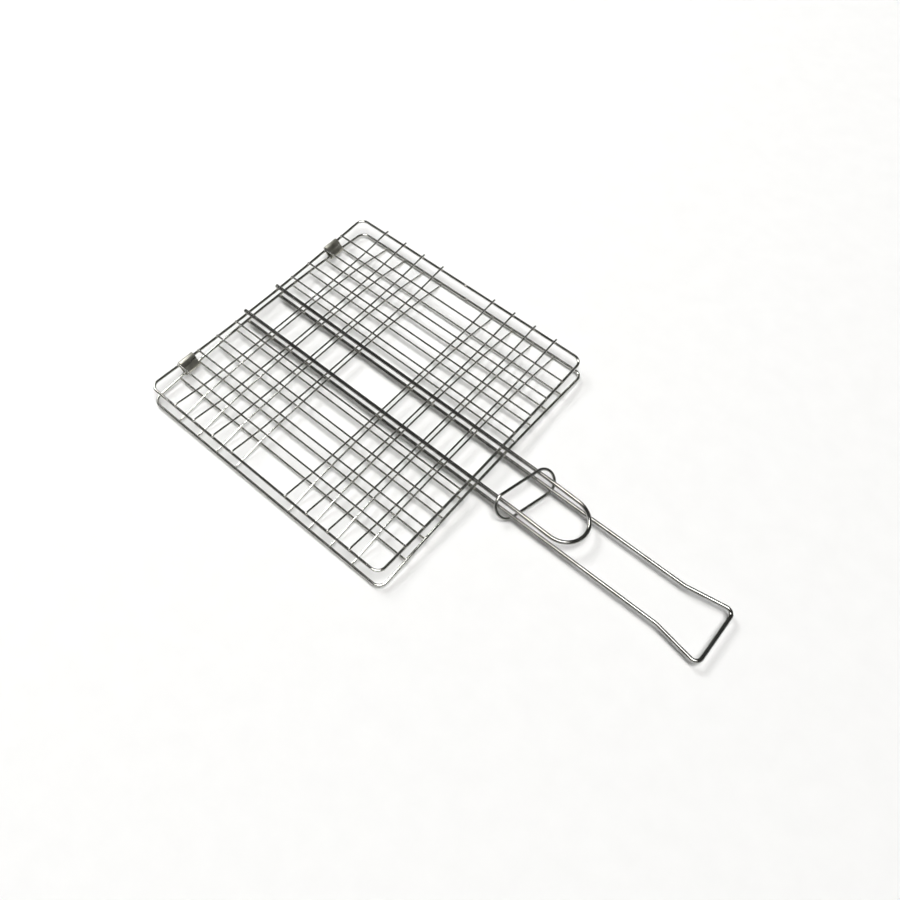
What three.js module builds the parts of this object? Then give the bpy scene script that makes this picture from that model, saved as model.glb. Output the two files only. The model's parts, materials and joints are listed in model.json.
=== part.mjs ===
import * as THREE from 'three';

// A folding wire grill basket, closed, empty and locked. Two wire grids face each other. They are
// joined at one edge by two folded sheet-metal clips, and held shut by a wire ring that slides along
// their two handles. Millimetres, +X along the handle, +Y across, +Z up.

// Wire diameters, and the clearance kept where two wires cross
const FRAME_WIRE = 3;
const GRID_WIRE = 2;
const HANDLE_WIRE = 4;
const RING_WIRE = 3;
const CROSSING_GAP = 0.3;
const WIRE_SIDES = 8;

// Each grid: a rounded rectangle of frame wire, with its hinge edge at x = 0
const GRID_LENGTH = 300;
const GRID_WIDTH = 313.7;
const FRAME_CORNER_RADIUS = 9;
const FRAME_OFFSET_Y = 2.3;
const SEAM_GAP = 0.3;

// Crosswise wires: two groups of four, either side of a wide middle gap. The middle of the two
// groups lies a little differently on each grid.
const UPPER_CROSS_CENTRE_X = 151.4;
const LOWER_CROSS_CENTRE_X = 149.7;
const CROSS_INNER_X = 35.2;
const CROSS_PITCH = 26.5;

// Lengthwise wires: four on each side of the handle
const LONG_CENTRE_Y = 0.3;
const LONG_INNER_Y = 41.9;
const LONG_PITCH = 26.4;
const WIRES_PER_GROUP = 4;

// The grids are cambered across their width, towards each other, so far that the middles of their
// frames are nearly level and lie side by side. The spacing is between their straight side edges.
const UPPER_CAMBER = 5.7;
const LOWER_CAMBER = 8.6;
const FRAME_SPACING = 14.2;
const LOWER_SHIFT_X = 6.5;

// How far the wire ends stand out past the middle of the frame wire that they cross, and how far
// inside it the crosswise wires' level ends begin
const LONG_END_HINGE = 0.3;
const UPPER_LONG_END_FRONT = 1.9;
const LOWER_LONG_END_FRONT = 1.1;
const CROSS_END_SHORT = 0.8;
const CROSS_END_LONG = 3;
const CROSS_END_LEVEL = 3;

// Locking ring: an oblong wire loop round both handles, leaning and turned as it lies
const RING_CENTRE_X = 347;
const RING_CENTRE_Y = -0.9;
const RING_HALF_STRAIGHT = 22;
const RING_END_RADIUS = 12.2;
const RING_TURN = THREE.MathUtils.degToRad(13.5);
const RING_HANDLE_GAP = 0.9;

// Handles: two legs that run the whole length of the grid and meet beyond it
const HANDLE_HALF_WIDTH = 23.4;
const HANDLE_END_HINGE = 2.5;
const UPPER_HANDLE_OFFSET_Y = -1.9;
const UPPER_HANDLE_END_X = 412.4;
const UPPER_HANDLE_DIP_X = 352;
const UPPER_HANDLE_DIP = 2.5;
const LOWER_HANDLE_OFFSET_Y = -0.7;
const LOWER_HANDLE_BEND_X = 504.5;
const LOWER_HANDLE_END_X = 549;
const LOWER_HANDLE_END_HALF_WIDTH = 31.5;
const LOWER_HANDLE_CORNER_RADIUS = 6;
const LOWER_HANDLE_BEND_RADIUS = 25;

// Hinge clips: sheet-metal straps folded round both frames' hinge-edge wires. The bow of those
// wires takes up most of the clearance at the clips' edges.
const CLIP_THICKNESS = 0.8;
const CLIP_CLEARANCE = 1.1;
const CLIP_WIDTH = 18;
const CLIP_CENTRE_Y = 107.8;

// Curve resolution
const BEND_STEPS = 5;
const HALF_TURN_STEPS = 16;
const CAMBER_STEPS = 10;

const CHROME = { color: 0xc4c7ca, roughness: 0.18, metalness: 1 };
const SHEET_STEEL = { color: 0x8c8b80, roughness: 0.42, metalness: 1 };

// Distances from the middle of the frame wire to the middles of the wires laid on it: grid wires,
// handle legs, and crosswise wires where they pass on the inner side of the lengthwise wires
const GRID_LAYER = FRAME_WIRE / 2 + CROSSING_GAP + GRID_WIRE / 2;
const HANDLE_LAYER = FRAME_WIRE / 2 + CROSSING_GAP + HANDLE_WIRE / 2;
const CROSS_LAYER = GRID_LAYER - GRID_WIRE - CROSSING_GAP;

// Heights of the two frames at their side edges: the lower crosswise wires' ends lie on z = 0
const LOWER_FRAME_Z = GRID_WIRE / 2 + GRID_LAYER;
const UPPER_FRAME_Z = LOWER_FRAME_Z + FRAME_SPACING;

const LOWER = {
  name: 'lower',
  side: -1,
  frameX: LOWER_SHIFT_X,
  frameY: -FRAME_OFFSET_Y,
  frameZ: LOWER_FRAME_Z,
  camber: LOWER_CAMBER,
  crossCentreX: LOWER_CROSS_CENTRE_X,
  longEndFront: LOWER_LONG_END_FRONT,
  handleY: -FRAME_OFFSET_Y + LOWER_HANDLE_OFFSET_Y,
};
const UPPER = {
  name: 'upper',
  side: 1,
  frameX: 0,
  frameY: FRAME_OFFSET_Y,
  frameZ: UPPER_FRAME_Z,
  camber: UPPER_CAMBER,
  crossCentreX: UPPER_CROSS_CENTRE_X,
  longEndFront: UPPER_LONG_END_FRONT,
  handleY: FRAME_OFFSET_Y + UPPER_HANDLE_OFFSET_Y,
};

// A wire's centre line as a row of points, with one extrusion step between each pair
class WirePath extends THREE.Curve {
  constructor(points) {
    super();
    this.points = points;
  }

  getPoint(t, target = new THREE.Vector3()) {
    return target.copy(this.points[Math.round(t * (this.points.length - 1))]);
  }

  getPointAt(u, target) {
    return this.getPoint(u, target);
  }

  getTangentAt(u, target = new THREE.Vector3()) {
    const last = this.points.length - 1;
    const i = Math.round(u * last);
    target.set(0, 0, 0);
    if (i > 0) {
      target.add(direction(this.points[i - 1], this.points[i]));
    }
    if (i < last) {
      target.add(direction(this.points[i], this.points[i + 1]));
    }
    return target.normalize();
  }
}

function direction(from, to) {
  return new THREE.Vector3().subVectors(to, from).normalize();
}

// A regular polygon whose flats are one wire diameter apart, with one flat facing down
function wireSection(diameter) {
  const radius = diameter / 2 / Math.cos(Math.PI / WIRE_SIDES);
  const corners = [];
  for (let i = 0; i < WIRE_SIDES; i += 1) {
    const angle = ((i + 0.5) * 2 * Math.PI) / WIRE_SIDES;
    corners.push(new THREE.Vector2(radius * Math.cos(angle), radius * Math.sin(angle)));
  }
  return new THREE.Shape(corners);
}

function wire(name, points, diameter) {
  const geometry = new THREE.ExtrudeGeometry(wireSection(diameter), {
    steps: points.length - 1,
    extrudePath: new WirePath(points),
  });
  return named(name, geometry, CHROME);
}

function named(name, geometry, finish) {
  const mesh = new THREE.Mesh(geometry, new THREE.MeshStandardMaterial(finish));
  mesh.name = name;
  return mesh;
}

// A polyline whose inner corners are rounded with circular arcs; radii[i] belongs to corners[i]
function roundedPath(corners, radii) {
  const points = [corners[0]];
  for (let i = 1; i < corners.length - 1; i += 1) {
    const into = direction(corners[i - 1], corners[i]);
    const out = direction(corners[i], corners[i + 1]);
    const turn = into.angleTo(out);
    const inward = out.clone().addScaledVector(into, -Math.cos(turn)).normalize();
    const start = corners[i].clone().addScaledVector(into, -radii[i] * Math.tan(turn / 2));
    for (let step = 0; step <= BEND_STEPS; step += 1) {
      const angle = (turn * step) / BEND_STEPS;
      const point = start.clone().addScaledVector(into, radii[i] * Math.sin(angle));
      points.push(point.addScaledVector(inward, radii[i] * (1 - Math.cos(angle))));
    }
  }
  points.push(corners[corners.length - 1]);
  return points;
}

// Splits the long straight runs across the grid, so that they can follow its camber
function splitAcross(points) {
  const longest = GRID_WIDTH / CAMBER_STEPS;
  const split = [points[0]];
  for (let i = 1; i < points.length; i += 1) {
    const pieces = Math.ceil(Math.abs(points[i].y - points[i - 1].y) / longest) || 1;
    for (let piece = 1; piece <= pieces; piece += 1) {
      split.push(points[i - 1].clone().lerp(points[i], piece / pieces));
    }
  }
  return split;
}

// Height of the cambered frame plane at a given y: straight side edges, bowed to the other grid
function frameHeight(grid, y) {
  const across = (2 * (y - grid.frameY)) / GRID_WIDTH;
  return grid.frameZ - grid.side * grid.camber * (1 - across * across);
}

function frame(grid) {
  const near = grid.frameX;
  const far = near + GRID_LENGTH;
  const left = grid.frameY + GRID_WIDTH / 2;
  const right = grid.frameY - GRID_WIDTH / 2;
  const seam = near + GRID_LENGTH / 2;
  const corners = [
    new THREE.Vector3(seam + SEAM_GAP / 2, left, 0),
    new THREE.Vector3(far, left, 0),
    new THREE.Vector3(far, right, 0),
    new THREE.Vector3(near, right, 0),
    new THREE.Vector3(near, left, 0),
    new THREE.Vector3(seam - SEAM_GAP / 2, left, 0),
  ];
  const points = splitAcross(roundedPath(corners, corners.map(() => FRAME_CORNER_RADIUS)));
  for (const point of points) {
    point.z = frameHeight(grid, point.y);
  }
  return wire(`${grid.name}_frame`, points, FRAME_WIRE);
}

// A crosswise wire: level ends laid on the side frame wires, and between them a bow that is pressed
// in under the lengthwise wires
function crossWire(grid, number, x) {
  const place = (across, z) => new THREE.Vector3(grid.frameX + x, grid.frameY + across, z);
  const edge = GRID_WIDTH / 2;
  const endZ = grid.frameZ + grid.side * GRID_LAYER;
  const bowed = LONG_INNER_Y + (WIRES_PER_GROUP - 1) * LONG_PITCH;
  const points = [place(-edge - CROSS_END_SHORT, endZ), place(-edge + CROSS_END_LEVEL, endZ)];
  for (let step = 0; step <= CAMBER_STEPS; step += 1) {
    const across = THREE.MathUtils.lerp(-bowed, bowed, step / CAMBER_STEPS);
    const z = frameHeight(grid, grid.frameY + across) + grid.side * CROSS_LAYER;
    points.push(place(across, z));
  }
  points.push(place(edge - CROSS_END_LEVEL, endZ), place(edge + CROSS_END_LONG, endZ));
  return wire(`${grid.name}_cross_wire_${number}`, points, GRID_WIRE);
}

function longWire(grid, number, across) {
  const y = grid.frameY + across;
  const z = frameHeight(grid, y) + grid.side * GRID_LAYER;
  const points = [
    new THREE.Vector3(grid.frameX - LONG_END_HINGE, y, z),
    new THREE.Vector3(grid.frameX + GRID_LENGTH + grid.longEndFront, y, z),
  ];
  return wire(`${grid.name}_long_wire_${number}`, points, GRID_WIRE);
}

// Positions of two mirrored groups of wires about a centre, from the highest to the lowest
function groupPositions(centre, inner, pitch) {
  const positions = [];
  for (let i = WIRES_PER_GROUP - 1; i >= 0; i -= 1) {
    positions.push(centre + inner + i * pitch);
  }
  for (let i = 0; i < WIRES_PER_GROUP; i += 1) {
    positions.push(centre - inner - i * pitch);
  }
  return positions;
}

// The height of a handle's legs, where the one nearer the middle of the grid lies on the frame
function handleHeight(grid) {
  const nearest = HANDLE_HALF_WIDTH - Math.abs(grid.handleY - grid.frameY);
  return frameHeight(grid, grid.frameY + nearest) + grid.side * HANDLE_LAYER;
}

// The upper handle: level legs that dip a little beyond the ring and close in a half circle
function upperHandle() {
  const level = handleHeight(UPPER);
  const place = (x, across, z) => new THREE.Vector3(x, UPPER.handleY + across, z);
  const arcStart = UPPER_HANDLE_END_X - HANDLE_HALF_WIDTH;
  const dipLength = UPPER_HANDLE_END_X - UPPER_HANDLE_DIP_X;
  const height = (x) => level - (UPPER_HANDLE_DIP * Math.max(0, x - UPPER_HANDLE_DIP_X)) / dipLength;
  const legXs = [-HANDLE_END_HINGE, UPPER_HANDLE_DIP_X];
  const points = legXs.map((x) => place(x, HANDLE_HALF_WIDTH, level));
  for (let step = 0; step <= HALF_TURN_STEPS; step += 1) {
    const angle = Math.PI / 2 - (Math.PI * step) / HALF_TURN_STEPS;
    const x = arcStart + HANDLE_HALF_WIDTH * Math.cos(angle);
    points.push(place(x, HANDLE_HALF_WIDTH * Math.sin(angle), height(x)));
  }
  for (const x of legXs.reverse()) {
    points.push(place(x, -HANDLE_HALF_WIDTH, level));
  }
  return wire('upper_handle', points, HANDLE_WIRE);
}

// The lower handle: straight legs that flare at the end to a straight grip bar
function lowerHandle() {
  const level = handleHeight(LOWER);
  const place = (x, across) => new THREE.Vector3(x, LOWER.handleY + across, level);
  const half = [
    [LOWER_SHIFT_X - HANDLE_END_HINGE, HANDLE_HALF_WIDTH],
    [LOWER_HANDLE_BEND_X, HANDLE_HALF_WIDTH],
    [LOWER_HANDLE_END_X, LOWER_HANDLE_END_HALF_WIDTH],
  ];
  const left = half.map(([x, across]) => place(x, across));
  const right = half.map(([x, across]) => place(x, -across)).reverse();
  const halfRadii = [0, LOWER_HANDLE_BEND_RADIUS, LOWER_HANDLE_CORNER_RADIUS];
  const radii = [...halfRadii, ...halfRadii.slice().reverse()];
  return wire('lower_handle', roundedPath([...left, ...right], radii), HANDLE_WIRE);
}

function grid(side, handle) {
  const group = new THREE.Group();
  group.add(frame(side));
  group.add(handle);
  groupPositions(side.crossCentreX, CROSS_INNER_X, CROSS_PITCH)
    .reverse()
    .forEach((x, i) => group.add(crossWire(side, i + 1, x)));
  groupPositions(LONG_CENTRE_Y, LONG_INNER_Y, LONG_PITCH)
    .forEach((y, i) => group.add(longWire(side, i + 1, y)));
  return group;
}

// The hinge edges' heights at the clips, the mean of the two clips' places
function hingeHeight(side) {
  return (frameHeight(side, CLIP_CENTRE_Y) + frameHeight(side, -CLIP_CENTRE_Y)) / 2;
}

// A strap folded into an oblong round both hinge wires, its ends butted on the lower flat, which
// faces away from the grids. Drawn in the X-Z plane about the lower wire, and extruded along Y.
function hingeClip(name, y) {
  const rise = hingeHeight(UPPER) - hingeHeight(LOWER);
  const span = Math.hypot(LOWER_SHIFT_X, rise);
  const lean = Math.atan2(rise, -LOWER_SHIFT_X);
  const inner = FRAME_WIRE / 2 + CLIP_CLEARANCE;
  const outer = inner + CLIP_THICKNESS;
  const quarter = Math.PI / 2;
  const strap = new THREE.Shape();
  strap.moveTo((span - SEAM_GAP) / 2, outer);
  strap.absarc(0, 0, outer, quarter, 3 * quarter, false);
  strap.absarc(span, 0, outer, -quarter, quarter, false);
  strap.lineTo((span + SEAM_GAP) / 2, outer);
  strap.lineTo((span + SEAM_GAP) / 2, inner);
  strap.absarc(span, 0, inner, quarter, -quarter, true);
  strap.absarc(0, 0, inner, 3 * quarter, quarter, true);
  strap.lineTo((span - SEAM_GAP) / 2, inner);
  strap.closePath();
  const geometry = new THREE.ExtrudeGeometry(strap, {
    depth: CLIP_WIDTH,
    bevelEnabled: false,
    curveSegments: BEND_STEPS * 2,
  });
  geometry.rotateZ(lean);
  const mesh = named(name, geometry, SHEET_STEEL);
  mesh.rotation.x = Math.PI / 2;
  mesh.position.set(LOWER_SHIFT_X, y + CLIP_WIDTH / 2, hingeHeight(LOWER));
  return mesh;
}

// The ring's middle: its top bar clears the upper legs, and its bottom bar clears the lower legs
function lockingRing() {
  const handleReach = HANDLE_WIRE / 2 + RING_HANDLE_GAP + RING_WIRE / 2;
  const top = handleHeight(UPPER) + handleReach;
  const bottom = handleHeight(LOWER) - handleReach;
  const lean = Math.asin((top - bottom) / (2 * RING_END_RADIUS));
  const along = new THREE.Vector3(Math.sin(RING_TURN), Math.cos(RING_TURN), 0);
  const up = new THREE.Vector3(-Math.cos(RING_TURN), Math.sin(RING_TURN), 0);
  up.multiplyScalar(Math.cos(lean));
  up.z = Math.sin(lean);
  const centre = new THREE.Vector3(RING_CENTRE_X, RING_CENTRE_Y, (top + bottom) / 2);
  const place = (u, v) => centre.clone().addScaledVector(along, u).addScaledVector(up, v);
  const points = [place(SEAM_GAP / 2, -RING_END_RADIUS)];
  for (const side of [1, -1]) {
    for (let step = 0; step <= HALF_TURN_STEPS; step += 1) {
      const angle = -Math.PI / 2 + (Math.PI * step) / HALF_TURN_STEPS;
      const u = RING_HALF_STRAIGHT + RING_END_RADIUS * Math.cos(angle);
      points.push(place(side * u, side * RING_END_RADIUS * Math.sin(angle)));
    }
  }
  points.push(place(-SEAM_GAP / 2, -RING_END_RADIUS));
  return wire('locking_ring', points, RING_WIRE);
}

const basket = new THREE.Group();
basket.add(grid(LOWER, lowerHandle()));
basket.add(grid(UPPER, upperHandle()));
basket.add(hingeClip('hinge_clip_left', CLIP_CENTRE_Y));
basket.add(hingeClip('hinge_clip_right', -CLIP_CENTRE_Y));
basket.add(lockingRing());

// The origin is the middle of the bounding box's bottom face
const bounds = new THREE.Box3().setFromObject(basket, true);
const middle = bounds.getCenter(new THREE.Vector3());
basket.position.set(-middle.x, -middle.y, -bounds.min.z);

export default basket;
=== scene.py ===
import json
import math
import random

import bmesh
import bpy
from mathutils import Matrix, Vector

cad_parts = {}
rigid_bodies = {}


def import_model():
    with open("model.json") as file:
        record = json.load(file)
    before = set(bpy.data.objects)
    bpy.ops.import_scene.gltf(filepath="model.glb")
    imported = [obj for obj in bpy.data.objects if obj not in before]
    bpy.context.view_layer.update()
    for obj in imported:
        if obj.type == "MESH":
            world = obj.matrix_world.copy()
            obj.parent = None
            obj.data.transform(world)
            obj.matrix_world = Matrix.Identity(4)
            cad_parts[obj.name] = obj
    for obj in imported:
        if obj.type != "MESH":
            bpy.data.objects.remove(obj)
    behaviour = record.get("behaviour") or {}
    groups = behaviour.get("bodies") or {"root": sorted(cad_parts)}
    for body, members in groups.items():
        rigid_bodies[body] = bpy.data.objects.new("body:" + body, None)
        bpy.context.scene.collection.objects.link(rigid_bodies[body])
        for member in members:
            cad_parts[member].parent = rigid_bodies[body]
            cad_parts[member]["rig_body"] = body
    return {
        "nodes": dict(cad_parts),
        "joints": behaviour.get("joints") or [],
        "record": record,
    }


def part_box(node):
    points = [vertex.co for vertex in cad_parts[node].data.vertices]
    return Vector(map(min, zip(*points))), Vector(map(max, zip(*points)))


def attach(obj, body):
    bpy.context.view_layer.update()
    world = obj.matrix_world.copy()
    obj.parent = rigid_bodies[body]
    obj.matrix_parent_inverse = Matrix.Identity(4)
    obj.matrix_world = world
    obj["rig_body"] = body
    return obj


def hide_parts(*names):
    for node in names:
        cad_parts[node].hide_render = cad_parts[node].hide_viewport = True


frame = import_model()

# A folding wire grill basket. Every wire is drawn again as a smooth round one along its own CAD
# middle line, and gets its cut ends, weld marks and finish. Metres, in the CAD model's frame.

MM = 0.001

# Wire diameters, as in the CAD model
FRAME_WIRE = 3 * MM
GRID_WIRE = 2 * MM
HANDLE_WIRE = 4 * MM
RING_WIRE = 3 * MM

# Reading a CAD wire: its sides, how little two faces of one flat can turn, how near two corners
# are the same one, and how evenly a cut end's corners lie round its middle
CAD_WIRE_SIDES = 8
FLAT = math.cos(math.radians(0.2))
SAME_CORNER = 0.01 * MM
END_UNEVENNESS = 0.02 * MM

# Fineness of the round wires, and the chamfer of their cut ends
ROUND_SIDES = 20
FINEST_TURN = math.radians(5)
LONGEST_STEP = 16 * MM
CUT_CHAMFER = 0.35 * MM

# A line is bent, and so lies in a plane of its own, when its bends enclose this share of its
# longest reach squared
BENT_SHARE = 0.02

# Edges that turn more than this are shaded as sharp ones
SHARP_EDGE = math.radians(40)

# The hinge clips' folded sheet
SHEET_THICKNESS = 0.8 * MM
SHEET_EDGE_RADIUS = 0.22 * MM
FOLD_STEPS = 14
HALF_SEAM = 0.15 * MM

# Welds: crossing wires closer than this are joined by a small nugget of squeezed-out metal. The
# spreads are shares of a wire's radius.
WELD_REACH = 0.8 * MM
WELD_SINK = 0.5 * MM
WELD_SPREAD = 1.22
WELD_STRETCH = 1.05
WELD_DENT = 0.10
WELD_SIDES = 12
WELD_LEVELS = 5
BEAD_LENGTH = 2.6 * MM
BEAD_SPREAD = 1.16
PARALLEL = 1e-12

# The camera, from the middle of the upper grid's hinge edge
CAMERA_OFFSET = Vector((0.52110, -0.43111, 0.77897))
TARGET_OFFSET = Vector((0.150, 0, 0))
CAMERA_ROLL = math.radians(1.08)
CAMERA_LENS = 38.44
CAMERA_SHIFT = (0.0899, -0.0854)

# The bright panel overhead: a touch off the zenith, so that the grids' wires don't mirror it.
# The studio's brightness goes by the cosine of the angle from the panel's middle.
PANEL_DIRECTION = (0.10, -0.10, 0.99)
STUDIO_LEVELS = ((0.0, 0.14), (0.30, 0.07), (0.948, 0.08), (0.966, 8.3), (0.985, 9.85))
STUDIO_TINT = (1, 0.996, 0.985)

# The key light, which draws the shadows
KEY_DIRECTION = (-0.70, 0.13, 0.70)
KEY_DISTANCE = 4.0
KEY_SIZE = 1.2
KEY_POWER = 62

# The floor: a square sheet
FLOOR_HALF_SIZE = 6.0
FLOOR_SQUARES = 24

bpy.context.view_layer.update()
bodies = frame["record"]["behaviour"]["bodies"]
joints = {joint["name"]: joint for joint in frame["joints"]}
rng = random.Random(7)


# ---------------------------------------------------------------- Middle lines

def flat_patch(start):
    """The corners of the flat area that a face belongs to."""
    patch = {start}
    queue = [start]
    while queue:
        face = queue.pop()
        for edge in face.edges:
            for other in edge.link_faces:
                if other not in patch and face.normal.dot(other.normal) > FLAT:
                    patch.add(other)
                    queue.append(other)
    return {corner for face in patch for corner in face.verts}


def cut_end(mesh):
    """The corners of a wire's cut end: a flat regular polygon."""
    for face in mesh.faces:
        corners = flat_patch(face)
        if len(corners) != CAD_WIRE_SIDES:
            continue
        middle = sum((corner.co for corner in corners), Vector()) / len(corners)
        reach = [(corner.co - middle).length for corner in corners]
        if max(reach) - min(reach) < END_UNEVENNESS:
            return corners
    raise ValueError("a CAD wire has no cut end")


def middle_line(node):
    """The middle of each section of a CAD wire, from one cut end to the other."""
    mesh = bmesh.new()
    mesh.from_mesh(frame["nodes"][node].data)
    bmesh.ops.remove_doubles(mesh, verts=mesh.verts, dist=SAME_CORNER)
    mesh.normal_update()
    section = cut_end(mesh)
    seen = set()
    line = []
    while section:
        seen |= section
        line.append(sum((corner.co for corner in section), Vector()) / len(section))
        section = {edge.other_vert(corner) for corner in section for edge in corner.link_edges} - seen
    mesh.free()
    return line


def tangents(line, closed):
    """The direction at each point. A long straight run keeps its own direction up to its ends."""
    count = len(line)
    steps = [line[(i + 1) % count] - line[i] for i in range(count)]
    if closed:
        return [(steps[i - 1] + steps[i]).normalized() for i in range(count)]
    inner = [(steps[i - 1] + steps[i]).normalized() for i in range(1, count - 1)]
    return [steps[0].normalized(), *inner, steps[count - 2].normalized()]


def rounded(line, closed=False):
    """The same line through the same points, with its bends drawn as smooth curves."""
    count = len(line)
    along = tangents(line, closed)
    smooth = []
    for i in range(count if closed else count - 1):
        start, end = line[i], line[(i + 1) % count]
        out, into = along[i], along[(i + 1) % count]
        length = (end - start).length
        pieces = math.ceil(max(out.angle(into) / FINEST_TURN, length / LONGEST_STEP, 1))
        for piece in range(pieces):
            t = piece / pieces
            smooth.append(
                start * (1 + t * t * (2 * t - 3))
                + end * (t * t * (3 - 2 * t))
                + out * (length * t * (1 - t) ** 2)
                - into * (length * t * t * (1 - t))
            )
    return smooth if closed else smooth + [line[-1]]


def plane_normal(line):
    """The normal of the plane that a bent line lies in, or straight up for a straight line."""
    normal = sum((a.cross(b) for a, b in zip(line, line[1:] + line[:1])), Vector())
    reach = max((point - line[0]).length for point in line)
    if normal.length < BENT_SHARE * reach * reach:
        return Vector((0, 0, 1))
    return normal.normalized()


# ---------------------------------------------------------------- Swept pieces

def circle(diameter):
    """A round wire's section."""
    turns = (2 * math.pi * i / ROUND_SIDES for i in range(ROUND_SIDES))
    return [(diameter / 2 * math.cos(turn), diameter / 2 * math.sin(turn)) for turn in turns]


def rounded_strip(width, thickness, radius, steps=3):
    """A flat strip's section: a rectangle with rounded edges."""
    corners = []
    for quarter, (sign_a, sign_b) in enumerate(((1, 1), (-1, 1), (-1, -1), (1, -1))):
        for step in range(steps + 1):
            turn = (quarter + step / steps) * math.pi / 2
            corners.append((
                sign_a * (width / 2 - radius) + radius * math.cos(turn),
                sign_b * (thickness / 2 - radius) + radius * math.sin(turn),
            ))
    return corners


def inset(section, amount):
    """The section with every corner moved in towards its middle."""
    moved = []
    for a, b in section:
        reach = math.hypot(a, b)
        moved.append((
            a - math.copysign(min(amount, abs(a)), a) * abs(a) / reach,
            b - math.copysign(min(amount, abs(b)), b) * abs(b) / reach,
        ))
    return moved


def sweep(name, line, section, closed=False):
    """One closed body: the section carried along the line, with chamfered cut ends if it is open.

    A section's first axis is the normal of the plane that the line lies in. The UV map holds the
    share of the way round and the distance along, in metres."""
    normal = plane_normal(line)
    along = tangents(line, closed)
    rings = [(point, way, section) for point, way in zip(line, along)]
    if not closed:
        tip = inset(section, CUT_CHAMFER)
        first, last = rings[0], rings[-1]
        rings[0] = (first[0] + first[1] * CUT_CHAMFER, first[1], section)
        rings[-1] = (last[0] - last[1] * CUT_CHAMFER, last[1], section)
        rings = [(first[0], first[1], tip), *rings, (last[0], last[1], tip)]
    points = []
    distances = [0.0]
    for i, (point, way, outline) in enumerate(rings):
        across = way.cross(normal).normalized()
        upward = across.cross(way)
        points += [point + upward * a + across * b for a, b in outline]
        following = rings[(i + 1) % len(rings)][0]
        distances.append(distances[-1] + (following - point).length)
    sides = len(section)
    faces = []
    corner_maps = []
    for i in range(len(rings) if closed else len(rings) - 1):
        here, there = i * sides, (i + 1) % len(rings) * sides
        for side in range(sides):
            after = (side + 1) % sides
            faces.append((here + side, there + side, there + after, here + after))
            u0, u1 = side / sides, (side + 1) / sides
            v0, v1 = distances[i], distances[i + 1]
            corner_maps += [(u0, v0), (u0, v1), (u1, v1), (u1, v0)]
    if not closed:
        end = (len(rings) - 1) * sides
        faces.append(tuple(range(sides)))
        faces.append(tuple(reversed(range(end, end + sides))))
        corner_maps += [(a / FRAME_WIRE, b) for a, b in section]
        corner_maps += [(a / FRAME_WIRE, b) for a, b in reversed(section)]
    mesh = bpy.data.meshes.new(name)
    mesh.from_pydata(points, [], faces)
    layer = mesh.uv_layers.new(name="along_wire")
    for corner, place in zip(layer.data, corner_maps):
        corner.uv = place
    return shown(name, mesh)


def shown(name, mesh):
    """Puts a finished mesh in the scene, with outward faces and smooth shading between sharp edges."""
    shape = bmesh.new()
    shape.from_mesh(mesh)
    bmesh.ops.recalc_face_normals(shape, faces=shape.faces)
    shape.to_mesh(mesh)
    shape.free()
    mesh.shade_smooth()
    mesh.set_sharp_from_angle(angle=SHARP_EDGE)
    piece = bpy.data.objects.new(name, mesh)
    bpy.context.scene.collection.objects.link(piece)
    return piece


def finished(piece, material, body, slot, *nodes):
    """Gives a piece its material and its body, and hides the CAD nodes that it stands for. The slot is
    not used.
    """
    piece.data.materials.append(material)
    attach(piece, body)
    if nodes:
        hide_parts(*nodes)


# ---------------------------------------------------------------- Welds

def crossings(line_a, line_b):
    """Where two lines cross, seen from above: the point on each."""
    found = []
    for a0, a1 in zip(line_a, line_a[1:]):
        for b0, b1 in zip(line_b, line_b[1:]):
            da, db, gap = a1 - a0, b1 - b0, b0 - a0
            turn = da.x * db.y - da.y * db.x
            if abs(turn) < PARALLEL:
                continue
            t = (gap.x * db.y - gap.y * db.x) / turn
            s = (gap.x * da.y - gap.y * da.x) / turn
            if 0 <= t < 1 and 0 <= s < 1:
                found.append((a0 + da * t, b0 + db * s))
    return found


def add_lens(shape, middle, radii, axes):
    """A lens of metal, a little uneven, with its thickness along the third axis."""
    dents = [1 + rng.uniform(-WELD_DENT, WELD_DENT) for _ in range(WELD_SIDES)]
    rows = []
    for level in range(1, WELD_LEVELS):
        lift = math.pi * (level / WELD_LEVELS - 0.5)
        row = []
        for side in range(WELD_SIDES):
            turn = 2 * math.pi * side / WELD_SIDES
            place = (
                axes[0] * (radii[0] * dents[side] * math.cos(lift) * math.cos(turn))
                + axes[1] * (radii[1] * dents[side] * math.cos(lift) * math.sin(turn))
                + axes[2] * (radii[2] * math.sin(lift))
            )
            row.append(shape.verts.new(middle + place))
        rows.append(row)
    for lower, upper in zip(rows, rows[1:]):
        for side in range(WELD_SIDES):
            after = (side + 1) % WELD_SIDES
            shape.faces.new((lower[side], lower[after], upper[after], upper[side]))
    for row, tip in ((rows[0], -radii[2]), (rows[-1], radii[2])):
        point = shape.verts.new(middle + axes[2] * tip)
        for side in range(WELD_SIDES):
            shape.faces.new((row[side], row[(side + 1) % WELD_SIDES], point))


def add_weld(shape, on_a, on_b, diameter_a, diameter_b):
    """A nugget where two wires cross and all but touch."""
    gap = abs(on_a.z - on_b.z) - (diameter_a + diameter_b) / 2
    if gap > WELD_REACH:
        return
    if on_a.z > on_b.z:
        top, bottom = on_a.z - diameter_a / 2, on_b.z + diameter_b / 2
    else:
        top, bottom = on_b.z - diameter_b / 2, on_a.z + diameter_a / 2
    middle = Vector(((on_a.x + on_b.x) / 2, (on_a.y + on_b.y) / 2, (top + bottom) / 2))
    spread = WELD_SPREAD * min(diameter_a, diameter_b) / 2
    spin = Matrix.Rotation(rng.uniform(0, math.pi), 3, "Z")
    axes = [spin @ Vector((1, 0, 0)), spin @ Vector((0, 1, 0)), Vector((0, 0, 1))]
    add_lens(shape, middle, (spread * WELD_STRETCH, spread, max(gap, 0) / 2 + WELD_SINK), axes)


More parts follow.
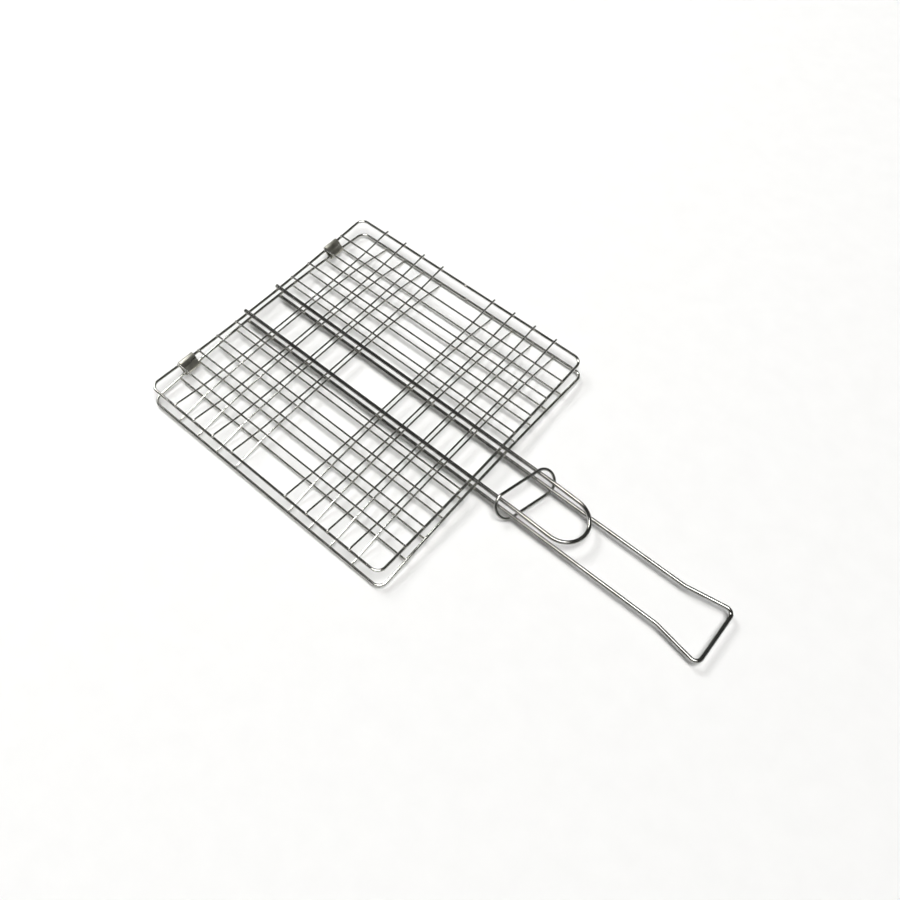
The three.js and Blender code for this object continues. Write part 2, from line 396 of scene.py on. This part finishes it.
def weld_marks(name, wires, frame_line):
    """Every weld of one grid, and the bead that closes its frame. wires holds (line, diameter)."""
    shape = bmesh.new()
    for i, (line_a, diameter_a) in enumerate(wires):
        for line_b, diameter_b in wires[i + 1:]:
            for on_a, on_b in crossings(line_a, line_b):
                add_weld(shape, on_a, on_b, diameter_a, diameter_b)
    seam = (frame_line[0] + frame_line[-1]) / 2
    radius = BEAD_SPREAD * FRAME_WIRE / 2
    axes = [Vector((0, 1, 0)), Vector((0, 0, 1)), Vector((1, 0, 0))]
    add_lens(shape, seam, (radius, radius, BEAD_LENGTH), axes)
    mesh = bpy.data.meshes.new(name)
    shape.to_mesh(mesh)
    shape.free()
    return shown(name, mesh)


# ---------------------------------------------------------------- Materials

class Finish:
    """A procedural material: its Principled shader, and short calls for the nodes that feed it."""

    def __init__(self, name, **sockets):
        self.material = bpy.data.materials.new(name)
        self.material.use_nodes = True
        self.tree = self.material.node_tree
        self.shader = self.tree.nodes["Principled BSDF"]
        for socket, value in sockets.items():
            self.shader.inputs[socket.replace("_", " ")].default_value = value

    def node(self, kind, inputs=(), **settings):
        made = self.tree.nodes.new(kind)
        for setting, value in settings.items():
            setattr(made, setting, value)
        for socket, value in dict(inputs).items():
            if isinstance(value, bpy.types.NodeSocket):
                self.tree.links.new(value, made.inputs[socket])
            else:
                made.inputs[socket].default_value = value
        return made

    def place(self, source, scale):
        """Texture coordinates ("UV" or "Object"), stretched by a scale for each axis."""
        coordinates = self.node("ShaderNodeTexCoord")
        return self.node(
            "ShaderNodeMapping", {"Vector": coordinates.outputs[source], "Scale": scale}
        ).outputs["Vector"]

    def noise(self, place, scale=1.0, detail=3.0, roughness=0.55):
        return self.node("ShaderNodeTexNoise", {
            "Vector": place, "Scale": scale, "Detail": detail, "Roughness": roughness,
        }).outputs["Fac"]

    def between(self, value, low, high, from_low=0.3, from_high=0.7):
        """Carries a 0 to 1 pattern over to a range of values."""
        return self.node("ShaderNodeMapRange", {
            "Value": value, "From Min": from_low, "From Max": from_high, "To Min": low, "To Max": high,
        }).outputs["Result"]

    def colours(self, value, stops):
        ramp = self.node("ShaderNodeValToRGB", {"Fac": value})
        for extra in range(len(stops) - 2):
            ramp.color_ramp.elements.new(0.5)
        for element, (position, colour) in zip(ramp.color_ramp.elements, stops):
            element.position = position
            element.color = (*colour, 1)
        return ramp.outputs["Color"]

    def add(self, a, b, share=1.0):
        scaled = self.node("ShaderNodeMath", {0: b, 1: share}, operation="MULTIPLY").outputs[0]
        return self.node("ShaderNodeMath", {0: a, 1: scaled}, operation="ADD").outputs[0]

    def feed(self, **links):
        for socket, value in links.items():
            self.tree.links.new(value, self.shader.inputs[socket.replace("_", " ")])

    def bump(self, height, strength, depth):
        made = self.node("ShaderNodeBump", {"Height": height, "Strength": strength, "Distance": depth})
        self.tree.links.new(made.outputs["Normal"], self.shader.inputs["Normal"])


def chrome(name, bright, dull, smoothest, roughest):
    """Chrome plating on drawn wire: clouded tint, faint lines along the wire and small pits."""
    finish = Finish(name, Metallic=1.0)
    clouds = finish.noise(finish.place("Object", (90, 90, 90)), detail=4)
    lines = finish.noise(finish.place("UV", (14, 60, 1)), detail=5)
    pits = finish.noise(finish.place("Object", (1500, 1500, 1500)), detail=2)
    specks = finish.between(pits, 1.0, 0.0, 0.66, 0.74)
    finish.feed(
        Base_Color=finish.colours(clouds, ((0.35, dull), (0.62, bright))),
        Roughness=finish.add(
            finish.between(lines, smoothest, roughest),
            finish.between(specks, 0.12, 0.0, 0.0, 1.0),
        ),
    )
    finish.bump(finish.add(lines, specks, 0.8), 0.22, 0.06 * MM)
    return finish.material


def weld_metal():
    """Scorched, grainy plating over a weld nugget."""
    finish = Finish("weld_metal", Metallic=1.0)
    grain = finish.noise(finish.place("Object", (900, 900, 900)), detail=5)
    stain = finish.noise(finish.place("Object", (260, 260, 260)), detail=2)
    finish.feed(
        Base_Color=finish.colours(stain, (
            (0.32, (0.20, 0.17, 0.13)), (0.50, (0.46, 0.44, 0.40)), (0.68, (0.66, 0.66, 0.65)),
        )),
        Roughness=finish.between(grain, 0.22, 0.5),
    )
    finish.bump(grain, 0.45, 0.12 * MM)
    return finish.material


def sheet_steel():
    """Zinc-plated sheet: rolled lines across the strap, a warm grey-green cast and worn spots."""
    finish = Finish("sheet_steel", Metallic=1.0)
    rolled = finish.noise(finish.place("Object", (420, 26, 420)), detail=5)
    clouds = finish.noise(finish.place("Object", (130, 130, 130)), detail=4)
    wear = finish.noise(finish.place("Object", (620, 620, 620)), detail=3)
    finish.feed(
        Base_Color=finish.colours(finish.add(clouds, rolled, 0.35), (
            (0.45, (0.30, 0.29, 0.25)), (0.66, (0.45, 0.44, 0.38)), (0.86, (0.58, 0.57, 0.51)),
        )),
        Roughness=finish.add(
            finish.between(rolled, 0.26, 0.42),
            finish.between(wear, 0.0, 0.14, 0.5, 0.75),
        ),
    )
    finish.bump(finish.add(rolled, wear, 0.4), 0.3, 0.08 * MM)
    return finish.material


def paper():
    """The plain pale floor."""
    finish = Finish("pale_floor", Metallic=0.0)
    fibres = finish.noise(finish.place("Object", (40, 40, 40)), detail=4)
    finish.feed(
        Base_Color=finish.colours(fibres, ((0.3, (0.90, 0.90, 0.895)), (0.7, (0.92, 0.92, 0.915)))),
        Roughness=finish.between(fibres, 0.75, 0.9),
    )
    return finish.material


GRID_CHROME = chrome("grid_chrome", (0.68, 0.68, 0.65), (0.52, 0.52, 0.48), 0.08, 0.16)
# The handle's and the ring's chrome are darker copies of the grid's chrome. This is painted shade:
# their base colour is lowered so that the white floor's reflection along their edges reads dark.
HANDLE_CHROME_PAINTED_DARK = chrome("handle_chrome", (0.42, 0.42, 0.40), (0.28, 0.28, 0.26), 0.07, 0.14)
RING_CHROME_PAINTED_DARK = chrome("ring_chrome", (0.46, 0.46, 0.44), (0.32, 0.32, 0.30), 0.08, 0.16)
WELD_METAL = weld_metal()
SHEET_STEEL = sheet_steel()


# ---------------------------------------------------------------- The basket

def build_wire(node, diameter, material, slot, closed=False):
    """Stands a smooth round wire in for a CAD wire, and returns the CAD wire's middle line."""
    line = middle_line(node)
    piece = sweep(f"{node}_round", rounded(line, closed), circle(diameter), closed)
    finished(piece, material, frame["nodes"][node]["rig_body"], slot, node)
    return line


def build_grid(side):
    """A grid's frame, wires and handle, and its welds."""
    body = f"{side}_grid"
    edge = build_wire(f"{side}_frame", FRAME_WIRE, GRID_CHROME, "grid_chrome", closed=True)
    wires = [(edge, FRAME_WIRE)]
    for node in bodies[body]:
        if "_wire_" in node:
            wires.append((build_wire(node, GRID_WIRE, GRID_CHROME, "grid_chrome"), GRID_WIRE))
    legs = build_wire(f"{side}_handle", HANDLE_WIRE, HANDLE_CHROME_PAINTED_DARK, "handle_chrome")
    wires.append((legs, HANDLE_WIRE))
    finished(weld_marks(f"{side}_weld_marks", wires, edge), WELD_METAL, body, "grid_chrome")


def build_clip(node):
    """A sheet strap folded round both hinge wires, its ends butted on the side facing the grids."""
    low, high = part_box(node)
    bottom = Vector(joints["clip_hinge"]["pos_m"])
    top = Vector(joints["lid_hinge"]["pos_m"])
    bottom.y = top.y = (low.y + high.y) / 2
    outer = (high.z - low.z - (top.z - bottom.z)) / 2
    radius = outer - SHEET_THICKNESS / 2
    along = (top - bottom).normalized()
    across = Vector((0, 1, 0)).cross(along)
    middle = (bottom + top) / 2
    line = [middle + along * HALF_SEAM + across * radius]
    for centre, start in ((top, 0), (bottom, math.pi)):
        for step in range(FOLD_STEPS + 1):
            turn = start + math.pi * step / FOLD_STEPS
            line.append(centre + across * (radius * math.cos(turn)) + along * (radius * math.sin(turn)))
    line.append(middle - along * HALF_SEAM + across * radius)
    section = rounded_strip(high.y - low.y, SHEET_THICKNESS, SHEET_EDGE_RADIUS)
    piece = sweep(f"{node}_folded", line, section)
    finished(piece, SHEET_STEEL, "hinge_clips", "clip_steel", node)


# ---------------------------------------------------------------- The scene

def build_camera():
    """The camera, placed from the upper grid's hinge edge and rolled a little about its view."""
    low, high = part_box("upper_frame")
    hinge_edge = Vector((low.x + FRAME_WIRE / 2, (low.y + high.y) / 2, high.z - FRAME_WIRE / 2))
    place = hinge_edge + CAMERA_OFFSET
    forward = (hinge_edge + TARGET_OFFSET - place).normalized()
    right = forward.cross(Vector((0, 0, 1))).normalized()
    up = right.cross(forward)
    rolled_right = right * math.cos(CAMERA_ROLL) + up * math.sin(CAMERA_ROLL)
    rolled_up = up * math.cos(CAMERA_ROLL) - right * math.sin(CAMERA_ROLL)
    data = bpy.data.cameras.new("camera")
    data.sensor_width = 36
    data.lens = CAMERA_LENS
    data.shift_x, data.shift_y = CAMERA_SHIFT
    data.clip_start = 0.01
    camera = bpy.data.objects.new("camera", data)
    turn = Matrix((rolled_right, rolled_up, -forward)).transposed()
    camera.matrix_world = Matrix.Translation(place) @ turn.to_4x4()
    bpy.context.scene.collection.objects.link(camera)
    bpy.context.scene.camera = camera


def build_floor():
    shape = bmesh.new()
    bmesh.ops.create_grid(
        shape, x_segments=FLOOR_SQUARES, y_segments=FLOOR_SQUARES, size=FLOOR_HALF_SIZE
    )
    mesh = bpy.data.meshes.new("floor")
    shape.to_mesh(mesh)
    shape.free()
    floor = bpy.data.objects.new("floor", mesh)
    floor.data.materials.append(paper())
    bpy.context.scene.collection.objects.link(floor)


def build_key_light():
    """A square softbox that faces the basket's middle."""
    data = bpy.data.lights.new("key_light", "AREA")
    data.shape = "RECTANGLE"
    data.size = data.size_y = KEY_SIZE
    data.energy = KEY_POWER
    light = bpy.data.objects.new("key_light", data)
    away = Vector(KEY_DIRECTION).normalized()
    light.location = away * KEY_DISTANCE
    light.rotation_euler = away.to_track_quat("Z", "Y").to_euler()
    bpy.context.scene.collection.objects.link(light)


def build_world():
    """A dim studio with one bright round panel overhead."""
    world = bpy.data.worlds.new("studio")
    bpy.context.scene.world = world
    world.use_nodes = True
    nodes, links = world.node_tree.nodes, world.node_tree.links
    direction = nodes.new("ShaderNodeTexCoord")
    nearness = nodes.new("ShaderNodeVectorMath")
    nearness.operation = "DOT_PRODUCT"
    nearness.inputs[1].default_value = Vector(PANEL_DIRECTION).normalized()
    ramp = nodes.new("ShaderNodeValToRGB")
    links.new(direction.outputs["Generated"], nearness.inputs[0])
    links.new(nearness.outputs["Value"], ramp.inputs["Fac"])
    for _ in range(len(STUDIO_LEVELS) - 2):
        ramp.color_ramp.elements.new(0.5)
    for element, (position, level) in zip(ramp.color_ramp.elements, STUDIO_LEVELS):
        element.position = position
        element.color = (*(level * share for share in STUDIO_TINT), 1)
    background = nodes["Background"]
    links.new(ramp.outputs["Color"], background.inputs["Color"])
    background.inputs["Strength"].default_value = 1.0


build_camera()
build_grid("lower")
build_grid("upper")
build_wire("locking_ring", RING_WIRE, RING_CHROME_PAINTED_DARK, "ring_chrome")
for clip in bodies["hinge_clips"]:
    build_clip(clip)
build_floor()
build_world()
build_key_light()
bpy.context.scene.view_settings.view_transform = "Standard"
